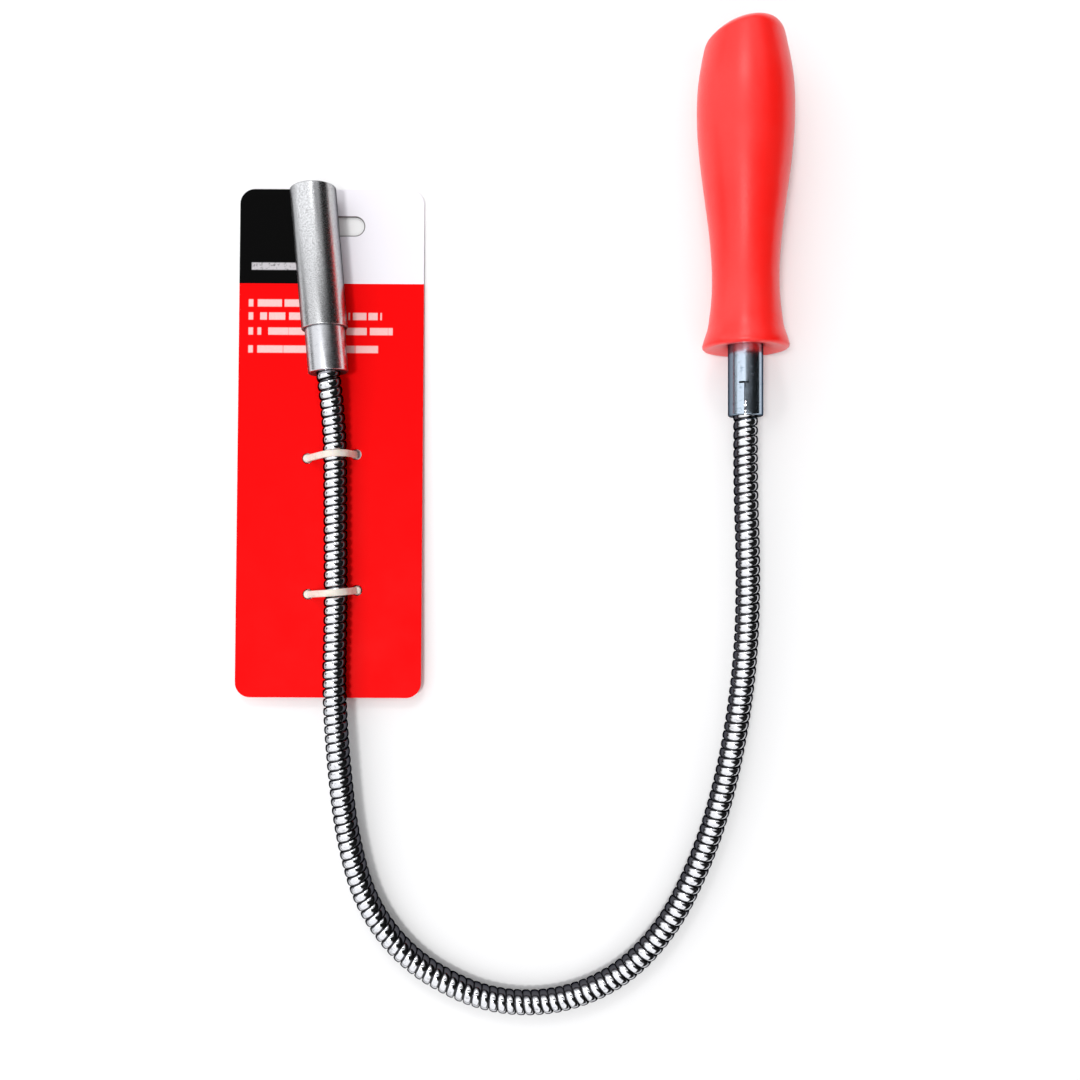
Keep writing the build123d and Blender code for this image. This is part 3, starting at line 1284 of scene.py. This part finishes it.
    def smooth_side(self, rows: int = 60) -> list[tuple[float, float]]:
        """The side's stations, joined smoothly.

        Args:
            rows: How many points are given.

        Returns:
            Distance from the mouth and radius of each point.
        """
        y = np.array([s[0] for s in self.stations])
        r = np.array([s[1] for s in self.stations])
        slope = np.gradient(r, y)
        made = []
        for at in np.linspace(y[0], y[-1], rows):
            k = min(int(np.searchsorted(y, at, side="right")) - 1, len(y) - 2)
            h = y[k + 1] - y[k]
            t = (at - y[k]) / h
            value = (2 * t**3 - 3 * t**2 + 1) * r[k] + (t**3 - 2 * t**2 + t) * h * slope[k]
            value += (-2 * t**3 + 3 * t**2) * r[k + 1] + (t**3 - t**2) * h * slope[k + 1]
            made.append((float(at), float(value)))
        return made

    def ferrule(self) -> bpy.types.Object:
        """Makes the ferrule, a tube with a T-shaped slit on top.

        Returns:
            The piece.
        """
        axis = self.axis()
        half = math.degrees(self.slit_width / 2 / self.ferrule_radius)
        cross = math.degrees(self.cross_slit / 2 / self.ferrule_radius)
        wide = np.linspace(cross, 360 - cross, 73)
        edges = [*wide, 360 - (cross + half) / 2, 360 - half, 360 + half, 360 + (cross + half) / 2]
        angles = [math.radians(90 + self.slit_turn + a) for a in edges]
        low, high = self.slit_length - self.slit_width / 2, self.slit_length + self.slit_width / 2
        lines = [0.0, 0.15, 0.35, 2.5, 5.0, 7.5, low, high, 12.0, 16.0, 20.0, self.shown + self.seated]
        crossing = lines.index(low)
        columns = len(angles)
        lengthwise = {(i, columns - 3) for i in range(crossing)}
        crosswise = {(crossing, j) for j in range(columns - 4, columns)}
        plain = [self.ferrule_radius] * (len(lines) - len(self.chamfers))
        radii = [self.ferrule_radius - chamfer for chamfer in self.chamfers] + plain
        return self.perforated(axis, angles, lines, radii, lengthwise | crosswise)

    def perforated(
        self, axis: Axis, angles: Sequence[float], lines: Sequence[float], radii: Sequence[float],
        open_cells: set[tuple[int, int]],
    ) -> bpy.types.Object:
        """A tube with some of its cells cut out.

        Args:
            axis: The tube's line.
            angles: The cells' sides, round the tube.
            lines: The cells' ends, along the tube.
            radii: The outer radius at each line.
            open_cells: Cells that are cut out, by line and angle.

        Returns:
            The tube.
        """
        draft = Draft()
        rows = len(lines)
        wide = len(angles)
        for shell in (radii, [self.bore] * rows):
            for line, radius in zip(lines, shell):
                draft.points.extend(axis.at(line, radius, a) for a in angles)

        def add(*corners: tuple[int, int, int]) -> None:
            """Adds a face with its surface coordinates.

            Args:
                corners: Its corners, by shell, line and angle.
            """
            draft.faces.append(tuple((shell * rows + i) * wide + j % wide for shell, i, j in corners))
            draft.runs.append(tuple(
                (float(angles[j % wide]) * self.ferrule_radius * MM, lines[i] * MM) for _, i, j in corners
            ))

        for i, j in itertools.product(range(rows - 1), range(wide)):
            if (i, j) in open_cells:
                continue
            first, second, third, fourth = (i, j), (i, j + 1), (i + 1, j + 1), (i + 1, j)
            add((0, *first), (0, *second), (0, *third), (0, *fourth))
            add((1, *first), (1, *fourth), (1, *third), (1, *second))
            beside = (i - 1, j), (i + 1, j), (i, j - 1), (i, j + 1)
            sides = (first, second), (third, fourth), (fourth, first), (second, third)
            for (line, angle), (start, end) in zip(beside, sides):
                if not 0 <= line < rows - 1 or (line, angle % wide) in open_cells:
                    add((0, *end), (0, *start), (1, *start), (1, *end))
        made = draft.piece("ferrule_tube", FERRULE, sharp=30.0)
        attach(made, "handle")
        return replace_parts(made, "handle_ferrule")

    def build(self) -> None:
        """Makes the handle."""
        self.grip()
        self.ferrule()


# ---------------------------------------------------------------------------------------------------------
# Head
# ---------------------------------------------------------------------------------------------------------


@dataclass
class Head:
    """The collar on the neck's end, the sleeve over it, and the magnet in the sleeve's mouth.

    Sizes are in millimetres.

    Attributes:
        collar_radius: The collar's radius, and that of its spigot, the keeper and the magnet.
        collar_shown: How much of the collar shows.
        spigot: How far it goes on into the sleeve.
        bore: Radius of the bore that takes the neck.
        bore_depth: Its depth.
        bore_end: Radius of the narrower bore behind it.
        collar_edge: The collar's rounded edge.
        sleeve_radius: The sleeve's outer radius.
        sleeve_bore: Its inner radius.
        sleeve_length: Its length.
        sleeve_edge: The rounded edges of its outside.
        sleeve_lip: The rounded edges of its inside.
        keeper: The keeper's thickness.
        recess: How far behind the sleeve's rim the magnet's face is.
        magnet_edge: The magnet's rounded edge.
    """

    collar_radius: float = 6.0
    collar_shown: float = 13.4
    spigot: float = 18.0
    bore: float = 3.7
    bore_depth: float = 11.5
    bore_end: float = 2.0
    collar_edge: float = 0.5
    sleeve_radius: float = 6.9
    sleeve_bore: float = 6.02
    sleeve_length: float = 43.0
    sleeve_edge: float = 0.4
    sleeve_lip: float = 0.15
    keeper: float = 5.0
    recess: float = 0.6
    magnet_edge: float = 0.4

    def build(self, start: Vector) -> None:
        """Makes the head.

        Args:
            start: Where the collar's mouth is, in metres.
        """
        axis = Axis(start, head_direction().normalized())
        end = self.collar_shown + self.sleeve_length
        inside = self.collar_shown + self.spigot
        seat = inside + self.keeper
        face = end - self.recess
        radius, edge = self.collar_radius, self.magnet_edge
        collar = rounded(
            [
                (0, self.bore), (0, radius), (inside, radius),
                (inside, self.bore_end), (self.bore_depth, self.bore_end), (self.bore_depth, self.bore),
            ],
            [0.25, self.collar_edge, 0.3, 0, 0, 0],
        )
        sleeve = rounded(
            [
                (self.collar_shown, self.sleeve_bore), (self.collar_shown, self.sleeve_radius),
                (end, self.sleeve_radius), (end, self.sleeve_bore),
            ],
            [self.sleeve_lip, self.sleeve_edge, self.sleeve_edge, self.sleeve_lip],
        )
        keeper = [(inside, 0.0), (inside, radius - 0.3), (inside + 0.3, radius), (seat, radius), (seat, 0.0)]
        magnet = [
            (seat, 0.0), (seat, radius), (face - edge, radius), (face - edge * 0.25, radius - edge * 0.3),
            (face, radius - edge), (face, 4.0), (face, 2.0), (face, 0.0),
        ]
        for name, outline, finish, node in (
            ("collar_turned", collar, COLLAR, "head_collar"),
            ("sleeve_turned", sleeve, SLEEVE, "head_sleeve"),
            ("keeper_turned", keeper, KEEPER, "keeper_disc"),
            ("magnet_turned", magnet, MAGNET, "magnet"),
        ):
            made = turned(axis, outline, name, finish)
            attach(made, "head")
            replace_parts(made, node)


# ---------------------------------------------------------------------------------------------------------
# Header card and ties
# ---------------------------------------------------------------------------------------------------------


@dataclass
class Card:
    """The header card under the neck, and the two straps that tie the neck to it.

    Sizes are in millimetres and angles in degrees.

    Attributes:
        width: The card's width.
        length: Its length.
        thickness: Its thickness.
        corner: Radius of its corners.
        edge: The rounding of its edges.
        ahead: How far its middle is along the neck from the tied stretch's start.
        aside: How far its middle is to the left of the neck.
        skew: How far it is turned from the neck.
        neck_radius: The neck's outer radius.
        drop: How far its top is under the neck's middle.
        slot_length: The hanging slot's length.
        slot_width: Its width.
        slot_drop: How far its middle is from the card's upper end.
        tie_turns: How many turns along the neck each strap is.
        tie_skew: How far the straps are turned.
        tie_span: How far apart a strap's legs are.
        tie_aside: How far a strap's middle is to the left of the neck.
        tie_bend: Inner radius of its bends under the card.
        hole: Radius of the holes for its legs.
        strap_width: The strap's width.
        strap_thickness: Its thickness.
        strap_edge: The rounding of its edges.
        clearance: The gap between it and what it goes round.
        stub_radius: Radius of the stub that a leg ends in.
        stub_height: How far the stub stands over the card.
        stub: The stub's outline, as parts of its radius and millimetres under its top.
    """

    width: float = 57.4
    length: float = 158.0
    thickness: float = 0.5
    corner: float = 4.6
    edge: float = 0.06
    ahead: float = 53.7
    aside: float = 2.4
    skew: float = 0.8
    neck_radius: float = 3.65
    drop: float = 3.95
    slot_length: float = 20.0
    slot_width: float = 5.8
    slot_drop: float = 11.6
    tie_turns: tuple[float, float] = (2.6, 17.9)
    tie_skew: float = 4.0
    tie_span: float = 15.2
    tie_aside: float = 1.9
    tie_bend: float = 0.3
    hole: float = 1.65
    strap_width: float = 2.1
    strap_thickness: float = 0.9
    strap_edge: float = 0.38
    clearance: float = 0.1
    stub_radius: float = 1.3
    stub_height: float = 0.6
    stub: Outline = ((1.0, 1.2), (1.0, 0.45), (0.93, 0.16), (0.75, 0.0), (0.3, 0.0))

    def level(self, stretch: Stretch) -> Matrix:
        """The card's top face under the start of the tied stretch, with +Y along the neck, in metres.

        Args:
            stretch: The tied stretch.

        Returns:
            A matrix from the card's own millimetres.
        """
        axis = Axis(stretch.start, stretch.ahead)
        turn = Matrix((axis.side, axis.ahead, axis.top)).transposed().to_4x4()
        place = Matrix.Translation(axis.origin - axis.top * self.drop * MM)
        return place @ turn @ Matrix.Scale(MM, 4)

    def card_place(self) -> Matrix:
        """The middle of the card, in its level."""
        return Matrix.Translation((-self.aside, self.ahead, 0)) @ Matrix.Rotation(math.radians(-self.skew), 4, "Z")

    def tie_place(self, turn: float) -> Matrix:
        """Where a strap crosses the neck, in the card's level."""
        turned_by = Matrix.Rotation(math.radians(self.tie_skew), 4, "Z")
        return Matrix.Translation((-self.tie_aside, turn * PITCH, 0)) @ turned_by

    @staticmethod
    def arc(middle: Vector, radius: float, angles: Sequence[float]) -> list[Vector]:
        """Points round a level circle.

        Args:
            middle: Its middle.
            radius: Its radius.
            angles: Where the points are, in radians.

        Returns:
            The points.
        """
        return [middle + radius * Vector((math.cos(a), math.sin(a), 0)) for a in angles]

    def outline(self, steps: int = 10) -> list[Vector]:
        """The card's outline in its own millimetres.

        Args:
            steps: How many edges a corner has.

        Returns:
            The outline's points.
        """
        made = []
        for sx, sy, start in ((1, -1, -90), (1, 1, 0), (-1, 1, 90), (-1, -1, 180)):
            middle = Vector((sx * (self.width / 2 - self.corner), sy * (self.length / 2 - self.corner), 0))
            angles = [math.radians(start + 90 * k / steps) for k in range(steps + 1)]
            made += self.arc(middle, self.corner, angles)
        return made

    def hang_slot(self, steps: int = 12) -> list[Vector]:
        """The hanging slot's outline in the card's own millimetres.

        Args:
            steps: How many edges a round end has.

        Returns:
            The outline's points.
        """
        made = []
        radius = self.slot_width / 2
        for sign, start in ((1, -90), (-1, 90)):
            middle = Vector((sign * (self.slot_length / 2 - radius), self.length / 2 - self.slot_drop, 0))
            angles = [math.radians(start + 180 * k / steps) for k in range(steps + 1)]
            made += self.arc(middle, radius, angles)
        return made

    def tie_holes(self, steps: int = 20) -> list[list[Vector]]:
        """The holes for the straps' legs, in the card's own millimetres.

        Args:
            steps: How many edges a hole has.

        Returns:
            Each hole's points.
        """
        made = []
        back = self.card_place().inverted()
        for turn, side in itertools.product(self.tie_turns, (-1, 1)):
            middle = back @ self.tie_place(turn) @ Vector((side * self.tie_span / 2, 0, 0))
            made.append(self.arc(middle, self.hole, circle(steps)))
        return made

    def board(self, stretch: Stretch) -> bpy.types.Object:
        """The board, cut out of a filled outline.

        Args:
            stretch: The tied stretch.

        Returns:
            The piece.
        """
        curve = bpy.data.curves.new("board_outline", "CURVE")
        curve.dimensions = "2D"
        curve.fill_mode = "BOTH"
        curve.extrude = self.thickness / 2 - self.edge
        curve.bevel_depth = self.edge
        curve.bevel_resolution = 1
        curve.offset = -self.edge
        for ring in (self.outline(), self.hang_slot(), *self.tie_holes()):
            spline = curve.splines.new("POLY")
            spline.points.add(len(ring) - 1)
            for point, place in zip(spline.points, ring):
                point.co = (*place, 1.0)
            spline.use_cyclic_u = True
        shape = bpy.data.objects.new("board_outline", curve)
        bpy.context.scene.collection.objects.link(shape)
        mesh = bpy.data.meshes.new_from_object(shape.evaluated_get(bpy.context.evaluated_depsgraph_get()))
        bpy.data.objects.remove(shape)
        place = self.level(stretch) @ self.card_place() @ Matrix.Translation((0, 0, -self.thickness / 2))
        draft = Draft()
        corner = Vector((self.width / 2, self.length / 2, 0))
        draft.points = [place @ v.co for v in mesh.vertices]
        for face in mesh.polygons:
            draft.faces.append(tuple(face.vertices))
            draft.runs.append(tuple(tuple(MM * (mesh.vertices[n].co + corner).xy) for n in face.vertices))
        made = draft.piece("header_board", CARD, sharp=40.0)
        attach(made, stretch.body)
        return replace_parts(made, "header_card")

    def strap_line(self, steps: int = 14) -> list[tuple[Vector, Vector]]:
        """The strap's middle line and outward direction, once round, in its own millimetres.

        Args:
            steps: How many edges it has over the neck.

        Returns:
            Places and directions, from the top of the neck round to it again.
        """
        half = self.strap_thickness / 2
        foot = (self.tie_span - self.strap_thickness) / 2 - self.tie_bend
        base = self.tie_bend - self.thickness - self.clearance
        rounds = [  # the taut loop turns round the neck and round the card at both holes
            (Vector((self.tie_aside, 0, self.drop)), self.neck_radius + self.clearance + half, steps),
            (Vector((-foot, 0, base)), self.tie_bend + half, 6),
            (Vector((foot, 0, base)), self.tie_bend + half, 6),
        ]
        turns = []
        for (here, small, _), (there, large, _) in zip(rounds, rounds[1:] + rounds[:1]):
            way = there - here
            heading = math.atan2(way.z, way.x)
            lean = math.acos((small - large) / way.length)
            turns.append(heading - lean)
        line = []
        for k, (middle, radius, edges) in enumerate(rounds):
            start, end = turns[k - 1], turns[k]
            sweep = (end - start) % (2 * math.pi)
            for step in range(edges + 1):
                a = start + sweep * step / edges
                out = Vector((math.cos(a), 0, math.sin(a)))
                line.append((middle + radius * out, out))
        return line

    def strap(self, name: str, node: str, stretch: Stretch, turn: float, stubs: Sequence[int]) -> bpy.types.Object:
        """One strap with its stubs.

        Args:
            name: The piece's name.
            node: The node that it stands for.
            stretch: The tied stretch.
            turn: Where it crosses the neck, in turns.
            stubs: The sides, -1 or 1, where a leg ends in a stub.

        Returns:
            The piece.
        """
        place = self.level(stretch) @ self.tie_place(turn)
        wide, thick = self.strap_width / 2, self.strap_thickness / 2
        corners = [(-wide, -thick), (wide, -thick), (wide, thick), (-wide, thick)]
        section = rounded(corners, [self.strap_edge] * 4, 3)
        draft = Draft()
        rows = [[place @ (at + Vector((0, u, 0)) + out * v) for u, v in section] for at, out in self.strap_line()]
        draft.skin(rows, looped=True)
        for side in stubs:
            rings = []
            for part, under in self.stub:
                middle = Vector((side * self.tie_span / 2, 0, self.stub_height - under))
                ring = self.arc(middle, self.stub_radius * part, circle(24))
                rings.append([place @ point for point in ring])
            numbers = draft.skin(rings)
            draft.cap(numbers[0], flip=True)
            draft.cap(numbers[-1])
        made = draft.piece(name, TIE, sharp=50.0)
        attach(made, stretch.body)
        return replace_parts(made, node)

    def build(self, stretch: Stretch) -> None:
        """Makes the card and its straps.

        Args:
            stretch: The tied stretch.
        """
        self.board(stretch)
        self.strap("strap_lower", "tie_lower", stretch, self.tie_turns[0], (-1, 1))
        self.strap("strap_upper", "tie_upper", stretch, self.tie_turns[1], (-1,))


# ---------------------------------------------------------------------------------------------------------
# Studio
# ---------------------------------------------------------------------------------------------------------


@dataclass(frozen=True)
class Lamp:
    """A square soft lamp that points at the origin.

    Attributes:
        name: Its name.
        place: Where it hangs, in metres.
        size: Its side, in metres.
        power: Its power, in watts.
        mirrored: Whether bright metal mirrors it.
    """

    name: str
    place: tuple[float, float, float]
    size: float
    power: float
    mirrored: bool = True

    def build(self) -> None:
        """Hangs the lamp."""
        data = bpy.data.lights.new(self.name, "AREA")
        data.shape = "SQUARE"
        data.size = self.size
        data.energy = self.power
        made = bpy.data.objects.new(self.name, data)
        made.location = self.place
        made.rotation_mode = "QUATERNION"
        made.rotation_quaternion = (-Vector(self.place)).to_track_quat("-Z", "Y")
        made.visible_glossy = self.mirrored
        bpy.context.scene.collection.objects.link(made)


@dataclass
class Studio:
    """A pale matt floor under soft light, seen from straight above.

    The surroundings are panes of light over dark walls. A pane's sides are angles from straight above, in degrees
    to the east or the north, or a direction's share of north, and fade between each two numbers.

    Attributes:
        offset: Where the camera stands from the neck's first joint, in millimetres.
        height: How high it stands.
        across: How much of the floor it sees from there.
        sensor: The width of its sensor.
        floor_size: The floor's side, in metres.
        floor_colour: The floor's colour.
        lamps: The lamps.
        ceiling: Level of the pane to the west, and what the levels of the other panes are multiplied by.
        west: Its leaning east side and its west side.
        wide: Its south and north sides.
        far: Level of the panes to the south and the north.
        far_east: Their west and east sides.
        far_north: Their near and far sides.
        over: Level of the pane overhead.
        over_east: Its east side.
        over_north: Its south and north sides, as shares of north.
        beam: How much of all light the dark beam takes.
        beam_east: The beam's west and east sides.
        beam_north: Its south and north sides.
        walls: Level of the walls.
        blue: How much brighter the blue of the surroundings is.
    """

    offset: tuple[float, float] = (-61.126, -14.736)
    height: float = 301.5
    across: float = 337.4
    sensor: float = 36.0
    floor_size: float = 6.0
    floor_colour: Colour = rgb(0.94, 0.94, 0.94)
    lamps: tuple[Lamp, ...] = (
        Lamp("key", (-0.25, -0.12, 1.20), 0.18, 5.2),
        Lamp("spark", (-0.14, 0.80, 0.90), 0.2, 1.6),
        Lamp("fill", (0.85, 0.10, 0.60), 0.3, 1.0, mirrored=False),
    )
    ceiling: float = 1.05
    west: tuple[float, float, float, float] = (4.0, -10.0, -76.0, -66.0)
    wide: tuple[float, float, float, float] = (-44.0, -36.0, 33.0, 42.0)
    far: float = 0.95
    far_east: tuple[float, float, float, float] = (-88.0, -80.0, 32.0, 45.0)
    far_north: tuple[float, float, float, float] = (34.0, 40.0, 80.0, 88.0)
    over: float = 1.5
    over_east: tuple[float, float] = (48.0, 0.0)
    over_north: tuple[float, float, float, float] = (0.24, 0.30, 0.52, 0.62)
    beam: float = 0.93
    beam_east: tuple[float, float, float, float] = (-18.0, -13.0, 23.0, 28.0)
    beam_north: tuple[float, float, float, float] = (26.0, 28.0, 37.0, 39.0)
    walls: float = 0.01
    blue: float = 1.015

    def camera(self) -> None:
        """Puts the camera over the middle of the view."""
        data = bpy.data.cameras.new("view")
        data.sensor_width = self.sensor
        data.lens = self.sensor * self.height / self.across
        data.clip_start = 0.01
        data.clip_end = 20.0
        made = bpy.data.objects.new("view", data)
        neck = Vector(frame["joints"][0]["pos_m"])
        made.location = (neck.x + self.offset[0] * MM, neck.y + self.offset[1] * MM, self.height * MM)
        bpy.context.scene.collection.objects.link(made)
        bpy.context.scene.camera = made

    def floor(self) -> None:
        """Lays the floor."""
        material = bpy.data.materials.new("pale_floor")
        material.use_nodes = True
        tree = Tree(material.node_tree)
        shader = tree.node(
            "ShaderNodeBsdfPrincipled",
            inputs={"Base Color": self.floor_colour, "Specular IOR Level": 0.0},
        )
        tree.node("ShaderNodeOutputMaterial", inputs={"Surface": shader})
        half = self.floor_size / 2
        mesh = bpy.data.meshes.new("floor")
        corners = [(-half, -half, 0), (half, -half, 0), (half, half, 0), (-half, half, 0)]
        mesh.from_pydata(corners, [], [(0, 1, 2, 3)])
        mesh.materials.append(material)
        made = bpy.data.objects.new("floor", mesh)
        bpy.context.scene.collection.objects.link(made)

    def surroundings(self) -> None:
        """Panes of light over dark walls, and white for the camera."""
        world = bpy.data.worlds.new("surroundings")
        world.use_nodes = True
        bpy.context.scene.world = world
        tree = Tree(world.node_tree)
        x, y, z = tree.split(tree.node("ShaderNodeTexCoord", output="Generated"))
        east, north = (part.math("ARCTAN2", z) * (180 / math.pi) for part in (x, y))
        west = (east + north).ramp(*self.west[:2]) * east.ramp(*self.west[2:]) * north.window(*self.wide)
        far = east.window(*self.far_east) * abs(north).window(*self.far_north)
        over = east.ramp(*self.over_east) * y.window(*self.over_north)
        beam = east.window(*self.beam_east) * north.window(*self.beam_north)
        panes = self.ceiling * west.larger(self.far * far).larger(self.over * over)
        level = panes * (1.0 - self.beam * beam) + self.walls
        colour = tree.node("ShaderNodeCombineXYZ", inputs={0: level, 1: level, 2: level * self.blue})
        seen = tree.node("ShaderNodeLightPath", output="Is Camera Ray")
        light = tree.node("ShaderNodeBackground", inputs={"Color": colour, "Strength": 1.0})
        plain = tree.node("ShaderNodeBackground", inputs={"Color": rgb(1, 1, 1), "Strength": 1.0})
        both = tree.node("ShaderNodeMixShader", inputs={0: seen, 1: light, 2: plain})
        tree.node("ShaderNodeOutputWorld", inputs={"Surface": both})

    def build(self) -> None:
        """Makes the studio."""
        self.camera()
        self.floor()
        for lamp in self.lamps:
            lamp.build()
        self.surroundings()
        bpy.context.scene.view_settings.view_transform = "Standard"


def main() -> None:
    """Builds the object and its studio."""
    logging.basicConfig(level=logging.INFO, format="%(message)s")
    Studio().build()
    neck = Gooseneck()
    neck.build()
    Handle().build()
    Head().build(neck.stretches[-1].end)
    tied = next(stretch for stretch in neck.stretches if stretch.name == "tied")
    Card().build(tied)


if __name__ == "__main__":
    main()
